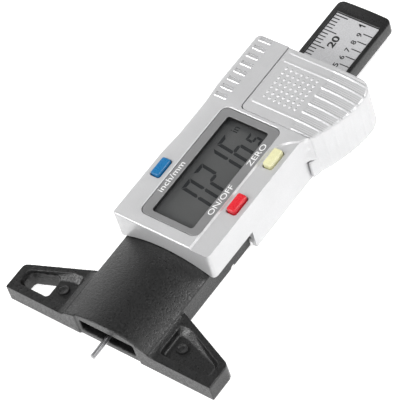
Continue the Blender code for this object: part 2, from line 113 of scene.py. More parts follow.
# Housing
HALF = -SHELL_LOW.x
TOP = SHELL_HIGH.z
FRONT = SHELL_LOW.y
REAR = SHELL_HIGH.y
REAR_RIGHT = 13.4
SKIN = 1.3
RIM = 0.45
STEP_AT = 39.3
STEP_HEIGHT = 5.8
ARCH_GAP = 0.3
WAIST = 0.5
SWELL = 1.75
SWELL_END = 63.05
RIDGE_AT = 8.5
RIDGE_WIDTH = 0.42
STRIP_DEPTH = 0.5
STRIP_RISE = 0.2
STRIP_START = 20.0
STRIP_END = 62.35
GRIP_COUNT = 8
GRIP_PITCH = 2.62
GRIP_FIRST = 63.55
GRIP_LIP = 0.17
GRIP_LEFT = -12.6
GRIP_RIGHT = -9.2
PLATE_TOP = 1.7
BATTERY_AT = (6.0, 73.3)

# Battery cover
COVER_LEFT = -4.7
COVER_CORNER = 1.2
COVER_START = 63.35
COVER_END = COVER_HIGH.y
COVER_TOP = TOP - 0.24
COVER_DROP = 1.3
COVER_FALL_AT = 9.5
COVER_EDGE_START = 15.2
COVER_WIDEST = 19.6
COVER_WIDEST_AT = 78.5
COVER_TAPER = 3.3
COVER_LEVELS = (11.6, 10.6, 9.5, 8.0, 6.5, 5.0, 3.5, 2.0, 1.0, 0.62, 0.5)
COVER_FOOT = 0.9
START_RIM = 0.1
END_RIM = 0.45
SIDE_RIM = 0.55
LEFT_RIM = 0.18
MIDDLE_MARGIN = 1.4
DOT_FIRST = (-1.62, 68.75)
DOT_PITCH = (1.5, 1.53)
DOT_PROFILE = ((0.44, -0.3), (0.44, 0.0), (0.3, 0.15), (0.16, 0.21), (0.04, 0.23))
RIB_COUNT = 8
RIB_FIRST = 63.6
RIB_PITCH = 2.645
RIB_CREST = 0.16
SIDE_RIB = 0.13
HOLLOW_AT = 9.1
RIB_PROFILE = (  # offset along Y, height of the rib, depth of the hollow behind it
    (-0.17, 0.0, 0.15), (0.12, 0.17, 0.0), (0.2, 0.17, 0.0), (0.7, 0.0, 0.15), (1.1, 0.0, 0.11),
    (1.2, 0.0, 0.17), (1.6, 0.0, 0.13), (1.7, 0.0, 0.19), (2.1, 0.0, 0.15), (2.475, 0.0, 0.15),
)
RIB_OFFSETS, RIB_HEIGHTS, HOLLOW_DEPTHS = zip(*RIB_PROFILE)
LONG_RIB = (-4.0, 0.4)  # where a rib starts across the cover, and the width of its sloping end
SHORT_RIB = (9.0, 0.3)
RIB_STARTS = ((8.5, 2.5), LONG_RIB, SHORT_RIB, SHORT_RIB, SHORT_RIB, SHORT_RIB, LONG_RIB, LONG_RIB)

# Display
VIEW_HALF = 5.95
VIEW_START = 29.4
VIEW_END = 60.1
FRAME_START = 27.8
FRAME_END = 62.05
INK_LOW = PANEL_HIGH.z - 0.12
INK_HIGH = PANEL_HIGH.z - 0.06
LARGE_FIGURE = (1.3, 4.62, 0.84)  # half width, half height, thickness of a segment
SMALL_FIGURE = (0.85, 1.7, 0.6)
FIGURE_SLANT = 0.12
# Segments that a figure shows: a, g and d from top to bottom, b, c on the right, f, e on the left
SEGMENTS = {"0": "abcdef", "1": "bc", "2": "abged", "5": "afgcd", "6": "afedcg"}

# Buttons
BUTTON_AT = {"inch_mm": (-11.1, 40.2), "on_off": (11.2, 39.9), "zero": (11.2, 54.4)}
CAP_HALF = (1.2, 2.6)
HOLE_GAP = 0.22

# Slide
SCALE_ZERO = 77.37
INCH = 25.4
TENTH = INCH / 10
PIN_HEIGHT = 3.6


# -------- outlines

def rounded(corners):
    """Outline from (x, y, radius) corners, each rounded with an arc."""
    steps = 8
    points = []
    count = len(corners)
    for i, (x, y, radius) in enumerate(corners):
        here = Vector((x, y))
        if radius <= 0:
            points.append((x, y))
            continue
        back = (Vector(corners[i - 1][:2]) - here).normalized()
        ahead = (Vector(corners[(i + 1) % count][:2]) - here).normalized()
        half = back.angle(ahead) / 2
        centre = here + (back + ahead).normalized() * (radius / math.sin(half))
        first = here + back * (radius / math.tan(half)) - centre
        last = here + ahead * (radius / math.tan(half)) - centre
        turn = first.angle_signed(last)
        for k in range(steps + 1):
            spoke = first.copy()
            spoke.rotate(Matrix.Rotation(-turn * k / steps, 2))
            points.append(tuple(centre + spoke))
    return points


def box_outline(x0, x1, y0, y1, radius=0.0):
    return rounded([(x0, y0, radius), (x1, y0, radius), (x1, y1, radius), (x0, y1, radius)])


def on_side(side, at):
    """Place on the left (-1) or on the right (1), given by the one on the right."""
    return side * at[0], at[1], 0


def box_about(at, half, radius):
    """Outline of a box given by its middle and its half sizes."""
    (x, y), (across, along) = at, half
    return box_outline(x - across, x + across, y - along, y + along, radius)


def bend(start, control, end, steps=16):
    """Points along a quadratic curve, without its last one."""
    points = []
    for k in range(steps):
        t = k / steps
        x = (1 - t) ** 2 * start[0] + 2 * t * (1 - t) * control[0] + t**2 * end[0]
        y = (1 - t) ** 2 * start[1] + 2 * t * (1 - t) * control[1] + t**2 * end[1]
        points.append((x, y))
    return points


def inset(points, distance):
    """A counter-clockwise outline moved inwards, by one distance or by one for each point."""
    count = len(points)
    moved = []
    for i in range(count):
        here = Vector(points[i])
        along = (here - Vector(points[i - 1])).normalized()
        onward = (Vector(points[(i + 1) % count]) - here).normalized()
        first = Vector((-along.y, along.x))
        second = Vector((-onward.y, onward.x))
        middle = (first + second).normalized()
        reach = distance[i] if isinstance(distance, (list, tuple)) else distance
        moved.append(tuple(here + middle * (reach / max(0.35, middle.dot(first)))))
    return moved


def crown_height(x, lift):
    return CROWN_TOP - CROWN_RADIUS + math.sqrt((CROWN_RADIUS + lift) ** 2 - x**2)


def crown_arc(half, lift=0.0):
    """Points (x, z) over the neck from +half to -half."""
    steps = 40
    places = [half * (1 - 2 * k / steps) for k in range(steps + 1)]
    return [(x, crown_height(x, lift)) for x in places]


# -------- meshes

def new_object(name, data):
    obj = bpy.data.objects.new(name, data)
    bpy.context.scene.collection.objects.link(obj)
    return obj


def object_from(name, build):
    mesh = bpy.data.meshes.new(name)
    bmesh.ops.recalc_face_normals(build, faces=build.faces)
    build.to_mesh(mesh)
    build.free()
    return new_object(name, mesh)


def loft(name, rings):
    """Closed solid through rings of points that all have the same count."""
    build = bmesh.new()
    loops = [[build.verts.new(point) for point in ring] for ring in rings]
    for lower, upper in zip(loops, loops[1:]):
        for k in range(len(lower)):
            n = (k + 1) % len(lower)
            build.faces.new((lower[k], lower[n], upper[n], upper[k]))
    build.faces.new(loops[0])
    build.faces.new(loops[-1])
    return object_from(name, build)


def at_height(outline, z):
    return [(x, y, z) for x, y in outline]


def prism(name, outline, low, high, top=0.0, bottom=0.0, steps=4):
    """Outline swept along Z, with its rims rounded to the radii top and bottom."""
    rings = []
    for k in range(steps + 1 if bottom else 1):
        angle = math.pi / 2 * k / steps
        side = inset(outline, bottom * (1 - math.sin(angle))) if bottom else outline
        rings.append(at_height(side, low + bottom * (1 - math.cos(angle))))
    for k in range(steps + 1 if top else 1):
        angle = math.pi / 2 * k / steps
        side = inset(outline, top * (1 - math.cos(angle))) if top else outline
        rings.append(at_height(side, high - top * (1 - math.sin(angle))))
    return loft(name, rings)


def flared(name, outline, low, high, rim, flare):
    """Cutter that widens by flare in its last rim below high, and goes on above it."""
    above = 0.6
    wide = inset(outline, -flare)
    return loft(name, [
        at_height(outline, low),
        at_height(outline, high - rim),
        at_height(wide, high),
        at_height(wide, high + above),
    ])


def along_y(name, profile, start, end):
    """Profile of (x, z) points swept along Y."""
    return loft(name, [[(x, start, z) for x, z in profile], [(x, end, z) for x, z in profile]])


def block(name, x0, x1, y0, y1, z0, z1):
    return prism(name, box_outline(x0, x1, y0, y1), z0, z1)


def turned(name, profile, at, axis="Z", sides=48):
    """Solid of revolution from (radius, height) points."""
    rings = []
    for radius, height in profile:
        ring = []
        for k in range(sides):
            angle = 2 * math.pi * k / sides
            across, up = radius * math.cos(angle), radius * math.sin(angle)
            local = (across, up, height) if axis == "Z" else (across, height, up)
            ring.append(tuple(Vector(local) + Vector(at)))
        rings.append(ring)
    return loft(name, rings)


def evaluated_mesh(obj):
    graph = bpy.context.evaluated_depsgraph_get()
    return bpy.data.meshes.new_from_object(obj.evaluated_get(graph))


def settle(obj):
    """Replaces a mesh by the form that its modifiers give it."""
    mesh = evaluated_mesh(obj)
    old = obj.data
    obj.modifiers.clear()
    obj.data = mesh
    bpy.data.meshes.remove(old)


def discard(obj):
    mesh = obj.data
    bpy.data.objects.remove(obj)
    bpy.data.meshes.remove(mesh)


def combine(target, operation, others):
    for other in others:
        modifier = target.modifiers.new(operation, "BOOLEAN")
        modifier.operation = operation
        modifier.solver = "EXACT"
        modifier.object = other
    settle(target)
    for other in others:
        discard(other)


def cut(target, *others):
    combine(target, "DIFFERENCE", others)


def union(target, *others):
    combine(target, "UNION", others)


def gather(target, *others):
    """Adds the meshes of others to target as loose parts."""
    build = bmesh.new()
    build.from_mesh(target.data)
    for other in others:
        build.from_mesh(other.data)
    build.to_mesh(target.data)
    build.free()
    for other in others:
        discard(other)


def soften(obj, voxel, passes):
    """Turns a hard-edged solid into a moulding with small even radii."""
    remesh = obj.modifiers.new("even mesh", "REMESH")
    remesh.mode = "VOXEL"
    remesh.voxel_size = voxel
    smooth = obj.modifiers.new("moulded radii", "SMOOTH")
    smooth.factor = 0.5
    smooth.iterations = passes
    settle(obj)


def shade(obj, angle):
    for polygon in obj.data.polygons:
        polygon.use_smooth = True
    obj.data.set_sharp_from_angle(angle=math.radians(angle))


def publish(obj, body, nodes, finish, angle=30):
    """Moves a finished piece into the frame's metres and fixes it to its body.

    Edges sharper than angle, in degrees, are shaded as edges.
    """
    shade(obj, angle)
    obj.data.transform(Matrix.Diagonal((MM, MM, MM, 1)) @ Matrix.Translation((0, ORIGIN_Y, 0)))
    obj.data.materials.clear()
    obj.data.materials.append(finish)
    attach(obj, body)
    if nodes:
        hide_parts(*nodes)


def lettering(name, text, x_top, x_base, y0, y1, low, high, weight=0.0):
    """Text that reads along +Y with its tops towards -X, stretched to fill a box."""
    curve = bpy.data.curves.new(name, "FONT")
    curve.body = text
    curve.offset = weight
    curve.extrude = 0.5
    font = new_object(name, curve)
    mesh = evaluated_mesh(font)
    bpy.data.objects.remove(font)
    bpy.data.curves.remove(curve)
    points = np.array([v.co for v in mesh.vertices])
    least, most = points.min(0), points.max(0)
    share = (points - least) / (most - least)
    placed = np.stack([
        x_base + (x_top - x_base) * share[:, 1],
        y0 + (y1 - y0) * share[:, 0],
        low + (high - low) * share[:, 2],
    ], axis=1)
    mesh.vertices.foreach_set("co", placed.ravel())
    mesh.update()
    return new_object(name, mesh)


# -------- materials

class Finish:
    """A Principled material with helpers for its node tree."""

    def __init__(self, name, roughness, metallic=0.0):
        self.material = bpy.data.materials.new(name)
        self.material.use_nodes = True
        self.tree = self.material.node_tree
        self.shader = self.tree.nodes["Principled BSDF"]
        self.shader.inputs["Roughness"].default_value = roughness
        self.shader.inputs["Metallic"].default_value = metallic
        self.place = self.tree.nodes.new("ShaderNodeTexCoord").outputs["Object"]

    def node(self, kind, **settings):
        node = self.tree.nodes.new(kind)
        for key, value in settings.items():
            setattr(node, key, value)
        return node

    def link(self, output, target):
        self.tree.links.new(output, target)

    def noise(self, size, detail=2.0, stretch=(1, 1, 1)):
        """Noise whose features are about size millimetres across."""
        mapping = self.node("ShaderNodeMapping")
        mapping.inputs["Scale"].default_value = stretch
        self.link(self.place, mapping.inputs["Vector"])
        noise = self.node("ShaderNodeTexNoise")
        noise.inputs["Scale"].default_value = 1 / (size * MM)
        noise.inputs["Detail"].default_value = detail
        self.link(mapping.outputs["Vector"], noise.inputs["Vector"])
        return noise.outputs["Fac"]

    def ramp(self, value, low, high, start, end):
        """Maps value from low..high to start..end, smoothly and clamped."""
        span = self.node("ShaderNodeMapRange", interpolation_type="SMOOTHSTEP")
        self.link(value, span.inputs["Value"])
        for key, number in (("From Min", low), ("From Max", high), ("To Min", start), ("To Max", end)):
            span.inputs[key].default_value = number
        return span.outputs["Result"]

    def spread(self, value, start=0.0, end=1.0):
        """Maps the range in which most of a noise lies to start..end."""
        return self.ramp(value, 0.3, 0.7, start, end)

    def math(self, operation, first, second=None):
        node = self.node("ShaderNodeMath", operation=operation)
        for socket, value in zip(node.inputs, (first, second)):
            if isinstance(value, (int, float)):
                socket.default_value = value
            elif value is not None:
                self.link(value, socket)
        return node.outputs["Value"]

    def mix(self, factor, first, second):
        node = self.node("ShaderNodeMix", data_type="RGBA")
        self.link(factor, node.inputs["Factor"])
        for socket, value in ((node.inputs[6], first), (node.inputs[7], second)):
            if isinstance(value, tuple):
                socket.default_value = (*value, 1)
            else:
                self.link(value, socket)
        return node.outputs[2]

    def edges(self):
        """1 on the rounded edges between faces that look along the axes, 0 on the faces."""
        normal = self.node("ShaderNodeNewGeometry").outputs["Normal"]
        parts = self.node("ShaderNodeSeparateXYZ")
        self.link(normal, parts.inputs["Vector"])
        sides = [self.math("ABSOLUTE", parts.outputs[axis]) for axis in "XYZ"]
        most = self.math("MAXIMUM", self.math("MAXIMUM", sides[0], sides[1]), sides[2])
        return self.ramp(most, 0.72, 0.95, 1.0, 0.0)

    def clouded(self, color, dark, light, cloud):
        """Colour that drifts between two shades of itself, as cloud goes from 0 to 1."""
        return self.mix(cloud, shades(color, dark), shades(color, light))

    def color(self, value):
        if isinstance(value, tuple):
            self.shader.inputs["Base Color"].default_value = (*value, 1)
        else:
            self.link(value, self.shader.inputs["Base Color"])

    def roughness(self, value):
        self.link(value, self.shader.inputs["Roughness"])

    def bump(self, layers):
        """Stacks bump layers given as (height output, depth in millimetres)."""
        normal = None
        for height, depth in layers:
            bump = self.node("ShaderNodeBump")
            bump.inputs["Strength"].default_value = 1.0
            bump.inputs["Distance"].default_value = depth * MM
            self.link(height, bump.inputs["Height"])
            if normal is not None:
                self.link(normal, bump.inputs["Normal"])
            normal = bump.outputs["Normal"]
        self.link(normal, self.shader.inputs["Normal"])


def shades(color, factor):
    return tuple(min(1.0, channel * factor) for channel in color)


def moulded_plastic(name, color, roughness, grain, depth, contrast=0.35):
    """Moulded plastic: fine spark-eroded grain, uneven colour and rubbed edges."""
    finish = Finish(name, roughness)
    blotches = finish.spread(finish.noise(6.0, 3.0))
    base = finish.clouded(color, 1 - contrast / 2, 1 + contrast / 2, blotches)
    patches = finish.ramp(finish.noise(1.1, 3.0), 0.4, 0.65, 0.1, 0.55)
    rub = finish.math("MULTIPLY", finish.edges(), patches)
    finish.color(finish.mix(rub, base, shades(color, 2.4)))
    fine = finish.noise(grain, 3.0)
    finish.roughness(finish.spread(fine, roughness - 0.1, roughness + 0.12))
    finish.shader.inputs["Specular IOR Level"].default_value = 0.6
    finish.bump([(fine, depth), (finish.noise(grain * 1.9, 2.0), depth * 0.5)])
    return finish.material


def silver_paint(name, tone, roughness=0.33):
    """Metallic silver paint on moulded plastic: flakes, slight orange peel, scuffed edges."""
    finish = Finish(name, roughness, 0.35)
    color = (tone, tone, tone * 1.01)
    base = finish.clouded(color, 0.955, 1.035, finish.spread(finish.noise(9.0, 3.0)))
    flakes = finish.ramp(finish.noise(0.11, 1.0), 0.35, 0.65, 0, 1)
    flaked = finish.mix(flakes, shades(color, 0.92), base)
    patches = finish.ramp(finish.noise(1.6, 3.0), 0.45, 0.7, 0.0, 0.5)
    wear = finish.math("MULTIPLY", finish.edges(), patches)
    finish.color(finish.mix(wear, flaked, shades(color, 1.25)))
    finish.roughness(finish.spread(finish.noise(0.5), roughness - 0.05, roughness + 0.07))
    finish.bump([(finish.noise(0.16), 0.004), (finish.noise(1.3, 1.0), 0.006)])
    return finish.material


def gloss_plastic(name, color, roughness=0.28):
    """Smooth, glossy plastic."""
    finish = Finish(name, roughness)
    finish.color(finish.clouded(color, 0.96, 1.03, finish.spread(finish.noise(1.2))))
    finish.roughness(finish.spread(finish.noise(0.3), roughness - 0.05, roughness + 0.08))
    finish.bump([(finish.noise(0.2), 0.004)])
    return finish.material


def metal(name, color, roughness, brushed=(1, 1, 1), grain=0.12, depth=0.004):
    """Bare metal with fine marks, drawn out along an axis where brushed is below 1."""
    finish = Finish(name, roughness, 1.0)
    marks = finish.noise(grain, 3.0, brushed)
    streaks = finish.spread(finish.noise(1.5, 3.0, brushed))
    finish.color(finish.clouded(color, 0.88, 1.06, streaks))
    finish.roughness(finish.spread(marks, roughness * 0.85, roughness * 1.3))
    finish.bump([(marks, depth)])
    return finish.material


def printed(name, color, roughness=0.5):
    """Thin layer of ink or foil."""
    finish = Finish(name, roughness)
    thin = finish.ramp(finish.noise(0.25), 0.35, 0.65, 0, 1)
    finish.color(finish.clouded(color, 0.88, 1.05, thin))
    finish.bump([(finish.noise(0.1, 1.0), 0.002)])
    return finish.material


def clear_window(name):
    """Clear plastic, as a thin dark film over what is under it."""
    finish = Finish(name, 0.06)
    cloud = finish.spread(finish.noise(4.0))
    finish.color(finish.mix(cloud, (0.05, 0.055, 0.06), (0.07, 0.075, 0.08)))
    finish.shader.inputs["Alpha"].default_value = 0.16
    finish.bump([(finish.noise(2.5, 1.0), 0.0015)])
    return finish.material


def display_glass(name):
    """Grey liquid crystal panel, slightly uneven."""
    finish = Finish(name, 0.32)
    cloud = finish.spread(finish.noise(12.0))
    finish.color(finish.mix(cloud, (0.125, 0.126, 0.123), (0.138, 0.138, 0.135)))
    finish.bump([(finish.noise(0.3, 1.0), 0.001)])
    return finish.material


def laminate(name):
    """Green circuit board with its weave showing through."""
    finish = Finish(name, 0.4)
    weave = finish.noise(0.5, stretch=(1, 6, 1))
    threads = finish.ramp(weave, 0.35, 0.65, 0, 1)
    finish.color(finish.mix(threads, (0.012, 0.085, 0.03), (0.02, 0.13, 0.05)))
    finish.bump([(weave, 0.006)])
    return finish.material


# -------- foot

def pocket(side):
    """Cutter for a wing's pocket, whose back wall is a wide slope."""
    floor = [(14.6, 2.6, 0.7), (27.4, 2.6, 1.2), (27.4, 5.8, 1.0), (16.4, 9.0, 0.7), (14.6, 9.0, 0.7)]
    mouth = [(14.0, 2.2, 1.0), (28.0, 2.2, 1.6), (28.0, 6.3, 1.4), (16.8, 10.9, 1.0), (14.0, 10.9, 1.0)]
    rings = [
        at_height(rounded([(side * x, y, radius) for x, y, radius in corners]), z)
        for corners, z in ((floor, POCKET_FLOOR), (mouth, WING_TOP), (mouth, WING_TOP + 1))
    ]
    return loft(f"pocket_{side}", rings)


def open_slot():
    """Cutter for the slot in the left wing, which narrows towards the underside."""
    outline = rounded([(-27.4, 2.75, 1.0), (-19.9, 2.75, 1.0), (-19.9, 9.0, 1.0), (-27.4, 6.3, 1.1)])
    return loft("slot", [
        at_height(inset(outline, 0.45), OUTSIDE),
        at_height(outline, POCKET_FLOOR),
        at_height(outline, WING_TOP + 1),
    ])


def bank(side):
    """Fillet between the top of a wing and the side of the neck."""
    slope = bend((14.8, 4.96), (12.7, 5.0), (11.2, 6.2), 10)
    profile = [(side * 11.2, 4.5), (side * 14.8, 4.5)] + [(side * x, z) for x, z in slope]
    return along_y(f"bank_{side}", profile, 0.0, BANK_END)


def foot_base(finish):
    wing = rounded([
        (-FOOT_HIGH.x, 0, 0),
        (FOOT_HIGH.x, 0, 0),
        (FOOT_HIGH.x, WING_END, 2.0),
        (NECK_HALF, WING_ROOT, 0),
        (-NECK_HALF, WING_ROOT, 0),
        (-FOOT_HIGH.x, WING_END, 2.0),
    ])
    foot = prism("moulded_foot", wing, 0, WING_TOP)
    neck = along_y("neck", [(-NECK_HALF, 0), (NECK_HALF, 0)] + crown_arc(NECK_HALF), 0, NECK_END)
    tongue = block("tongue", -NECK_HALF, NECK_HALF, NECK_END - 1, FOOT_HIGH.y, 0, TONGUE_TOP)
    union(foot, neck, tongue, bank(-1), bank(1))
    cutters = [
        block("channel", -CHANNEL_HALF, CHANNEL_HALF, OUTSIDE, PAST_TONGUE, CHANNEL_LOW, CHANNEL_TOP),
        block("tray", -CHANNEL_HALF, CHANNEL_HALF, NECK_END + 0.2, PAST_TONGUE, CHANNEL_LOW + 0.5, PAST_TOP),
        block("mouth", -MOUTH_HALF, MOUTH_HALF, OUTSIDE, MOUTH_RECESS, OUTSIDE, PAST_TOP),
        open_slot(),
    ]
    for side in (-1, 1):
        edge = side * NECK_HALF
        groove = side * GROOVE_AT
        screw_at = on_side(side, FOOT_SCREW)
        cutters += [
            pocket(side),
            block(f"notch_{side}", edge - 0.8, edge + 0.8, *NOTCH, OUTSIDE, 0.6),
            block(f"groove_{side}", groove - 0.16, groove + 0.16, OUTSIDE, 0.62, 1.2, 6.6),
            turned(f"hole_{side}", [(SCREW_HOLE, OUTSIDE), (SCREW_HOLE, PAST_TOP)], screw_at),
            turned(f"sink_{side}", [(1.8, OUTSIDE), (1.8, 1.5)], screw_at),
        ]
    cut(foot, *cutters)
    soften(foot, 0.2, 3)
    bosses = [turned(f"boss_{side}", BOSS_PROFILE, on_side(side, BOSS_AT)) for side in (-1, 1)]
    gather(foot, *bosses)
    publish(foot, "gauge_body", ["foot_base"], finish, 40)


# -------- housing

def shell_outline(flare):
    """Plan of the housing, whose right side swells by flare (0 to 1) where it meets the cover."""
    widest = (HALF + SWELL * flare, SWELL_END)
    swell = [(HALF, 60.0)] + bend((HALF, 60.3), (HALF + 0.1 * flare, 61.9), widest)
    swell += [widest, (REAR_RIGHT, SWELL_END), (REAR_RIGHT, REAR)]
    return rounded(
        [(-HALF, FRONT, 0.9), (HALF, FRONT, 1.1)]
        + [(x, y, 0) for x, y in swell]
        + [
            (-HALF, REAR, 1.3),
            (-HALF, 66.5, 9.0),
            (-HALF + WAIST, 61.0, 9.0),
            (-HALF + WAIST, 50.5, 9.0),
            (-HALF, 44.0, 9.0),
        ]
    )


def shell_body():
    """Outer form of the housing with a rounded top rim, square where the cover meets it."""
    low = shell_outline(0.0)
    high = shell_outline(1.0)
    radii = [0.06 if y > SWELL_END - 0.15 and x > REAR_RIGHT - 0.1 else RIM for x, y in high]
    rings = [at_height(low, 0), at_height(low, 6.2), at_height(high, 6.5)]
    steps = 6
    for k in range(steps + 1):
        angle = math.pi / 2 * k / steps
        moved = inset(high, [radius * (1 - math.cos(angle)) for radius in radii])
        rings.append([(x, y, TOP - radius * (1 - math.sin(angle))) for (x, y), radius in zip(moved, radii)])
    return loft("painted_housing", rings)


def strip_cutter():
    """Takes the button strip down below the ridge, with a slanting face along it."""
    side = HALF + 4
    corner = (HALF + 2.5, STRIP_END)
    curve = bend((RIDGE_AT, 53.0), (RIDGE_AT + 0.35, 60.4), corner)
    outline = [(RIDGE_AT, STRIP_START), (side, STRIP_START), (side, STRIP_END), corner]
    outline += curve[::-1]
    floor = []
    for x, y in inset(outline, RIDGE_WIDTH):
        rise = STRIP_RISE * min(1.0, (x - RIDGE_AT) / (HALF - RIDGE_AT))
        floor.append((x, y, TOP - STRIP_DEPTH + rise))
    return loft("strip", [floor, at_height(outline, TOP + 0.03), at_height(outline, TOP + 1)])


def grip_bar(name, profile, x0, x1):
    """Bar across the left rim, from a profile of (y, height over the top) points."""
    return loft(name, [[(x, y, TOP + z) for y, z in profile] for x in (x0, x1)])


def grips():
    """Notches on the left that slope down along +Y, each behind a raised lip."""
    scoops = []
    lips = []
    for k in range(GRIP_COUNT):
        y = GRIP_FIRST + GRIP_PITCH * k
        scoop = [(y + 0.24, 0.16), (y + 1.25, -0.3), (y + 1.25, 0.5), (y + 0.24, 0.5)]
        lip = [(y - 0.2, -0.1), (y + 0.12, GRIP_LIP), (y + 0.24, GRIP_LIP), (y + 0.75, -0.1)]
        scoops.append(grip_bar(f"scoop_{k}", scoop, GRIP_LEFT, GRIP_RIGHT))
        lips.append(grip_bar(f"lip_{k}", lip, GRIP_LEFT + 0.05, GRIP_RIGHT - 0.05))
    return scoops, lips


def housing_shell(finish):
    shell = shell_body()
    scoops, lips = grips()
    back = REAR - SKIN
    ceiling = TOP - SKIN
    side = HALF - SKIN
    arch_half = NECK_HALF + ARCH_GAP
    arch = [(-arch_half, OUTSIDE), (arch_half, OUTSIDE)] + crown_arc(arch_half, ARCH_GAP)
    bay_left = COVER_LEFT - 0.16
    bay_start = SWELL_END + 0.07
    bay = rounded([
        (bay_left, bay_start, 1.25),
        (PAST_SIDE, bay_start, 0),
        (PAST_SIDE, PAST_REAR, 0),
        (bay_left, PAST_REAR, 0),
    ])
    bezel_half = BEZEL_HIGH.x + 0.12
    opening = box_outline(-bezel_half, bezel_half, FRAME_START - 0.15, FRAME_END + 0.15, 1.9)
    cutters = [
        block("front_cavity", -side, side, FRONT + SKIN, 62.0, OUTSIDE, ceiling),
        block("left_cavity", -side, -5.9, 61.0, back, OUTSIDE, ceiling),
        block("low_cavity", -side, REAR_RIGHT - SKIN, 61.5, back, OUTSIDE, 7.2),
        along_y("arch", arch, FRONT - 2, FRONT + SKIN + 0.5),
        block("step", -20, 20, FRONT - 2, STEP_AT, OUTSIDE, STEP_HEIGHT),
        block("slide_way", -7.95, 7.95, back - 1, REAR + 1, PLATE_TOP, 5.9),
        strip_cutter(),
        *scoops,
        prism("bay", bay, 12.6, PAST_TOP),
        block("lip_groove", -6.4, -3.6, COVER_START, PAST_REAR, 11.9, 13.1),
        turned("battery_well", [(6.1, 6.2), (6.1, PAST_TOP)], (*BATTERY_AT, 0), sides=64),
        block("contact_way", -1.6, 1.5, 71.1, 75.5, 6.2, 13.1),
        flared("display", opening, ceiling - 0.5, TOP, 0.14, 0.14),
    ]
    for name, (x, y) in BUTTON_AT.items():
        hole = box_about((x, y), [half + HOLE_GAP for half in CAP_HALF], 0.62)
        rim = TOP if x < 0 else TOP - STRIP_DEPTH
        cutters.append(flared(f"button_hole_{name}", hole, ceiling - 0.5, rim, 0.12, 0.12))
    cut(shell, *cutters)
    rail = block("rail", REAR_RIGHT - 0.5, 14.2, 65.2, 81.9, 5.0, 6.2)
    post = [(1.6, 2.1), (1.6, ceiling + 0.5)]
    posts = [turned(f"post_{side}", post, on_side(side, FRONT_SCREW)) for side in (-1, 1)]
    gather(shell, rail, *posts, *lips)
    publish(shell, "gauge_body", ["housing_shell"], finish, 24)


def back_plate(finish):
    x0, x1, y0, y1 = PLATE_LOW.x, PLATE_HIGH.x, PLATE_LOW.y, PLATE_HIGH.y
    right = REAR_RIGHT - SKIN - 0.3
    outline = [(x0, y0), (x1, y0), (x1, 62.6), (right, 62.6), (right, y1), (x0, y1)]
    plate = prism("lower_plate", outline, 0, PLATE_TOP, 0.0, 0.3)
    cutters = [prism("label_field", box_outline(-7.5, 7.5, 50, 74, 1.0), OUTSIDE, 0.25)]
    hole = [(SCREW_HOLE, OUTSIDE), (SCREW_HOLE, 3)]
    sink = [(2.1, OUTSIDE), (2.1, 0), (1.8, 0.3), (1.8, 1.05)]
    for right_screw in (FRONT_SCREW, REAR_SCREW):
        for side in (-1, 1):
            at = on_side(side, right_screw)
            cutters += [turned("back_hole", hole, at), turned("back_sink", sink, at)]
    cut(plate, *cutters)
    gather(
        plate,
        block("right_guide", 7.9, 8.8, y0, 77.5, 1, 5.3),
        block("left_guide", -9.05, -8.5, y0, 77.5, 1, 5.3),
    )
    publish(plate, "gauge_body", ["back_cover"], finish)


# -------- battery cover

def cover_edge(y):
    """Right edge of the cover at a place along it."""
    if y < COVER_WIDEST_AT:
        t = (y - COVER_START) / (COVER_WIDEST_AT - COVER_START)
        return COVER_EDGE_START + (COVER_WIDEST - COVER_EDGE_START) * (1 - (1 - t) ** 1.75)
    t = (y - COVER_WIDEST_AT) / (COVER_END - COVER_WIDEST_AT)
    return COVER_WIDEST - COVER_TAPER * (1 - math.sqrt(max(0.0, 1 - t**2.3)))


def rim_drop(distance, radius):
    """How far a rounded rim has dropped at a distance from its edge."""
    if distance >= radius:
        return 0.0
    return radius - math.sqrt(max(0.0, radius**2 - (radius - distance) ** 2))


def cover_left(y):
    """Left edge of the cover, which has one rounded corner."""
    return COVER_LEFT + rim_drop(y - COVER_START, COVER_CORNER)


def smooth(value):
    value = min(1.0, max(0.0, value))
    return value * value * (3 - 2 * value)


def rib_share(k, x):
    """How much of rib k there is at x."""
    start, width = RIB_STARTS[k]
    return smooth((x - start) / width)


def cover_height(x, y):
    """Top of the cover: it falls to the right, with ribs and grooved hollows between them."""
    fall = max(0.0, (x - COVER_FALL_AT) / 10)
    z = COVER_TOP - COVER_DROP * fall**2
    k = math.floor((y - RIB_FIRST - RIB_OFFSETS[0] + 0.001) / RIB_PITCH)
    k = min(RIB_COUNT - 1, max(0, k))
    past = y - RIB_FIRST - RIB_PITCH * k
    z += rib_share(k, x) * float(np.interp(past, RIB_OFFSETS, RIB_HEIGHTS))
    if y < RIB_FIRST + RIB_PITCH * (RIB_COUNT - 0.7):
        z -= smooth((x - HOLLOW_AT) / 0.9) * float(np.interp(past, RIB_OFFSETS, HOLLOW_DEPTHS))
    return min(z, TOP)


def cover_rows():
    """Places along the cover where its surface bends, kept a little apart."""
    first = [COVER_START + step for step in (0.0, 0.01, 0.03, 0.06, 0.1)]
    last = [COVER_END - step for step in (0.45, 0.3, 0.17, 0.08, 0.02, 0.0)]
    corner = [COVER_START + step for step in (0.45, 0.65, 0.85, 1.1)]
    bends = [RIB_FIRST + RIB_PITCH * k + offset for k in range(RIB_COUNT) for offset in RIB_OFFSETS[:-1]]
    apart = 0.04
    rows = list(first)
    for y in sorted(bends + corner):
        if rows[-1] + apart < y < last[0] - apart:
            rows.append(y)
    return rows + last


def cover_columns(left, right):
    """Places across the cover: close together on its rims, fixed in its middle."""
    middle = [COVER_LEFT + MIDDLE_MARGIN + 0.3 * step for step in range(60)]
    start = middle[-1] + 0.3
    near = [left + (middle[0] - left) * share for share in (0, 0.02, 0.06, 0.12, 0.25, 0.4, 0.6, 0.8)]
    shares = (0, 0.15, 0.3, 0.45, 0.6, 0.72, 0.82, 0.89, 0.94, 0.975, 1)
    return near + middle + [start + (right - start) * share for share in shares]


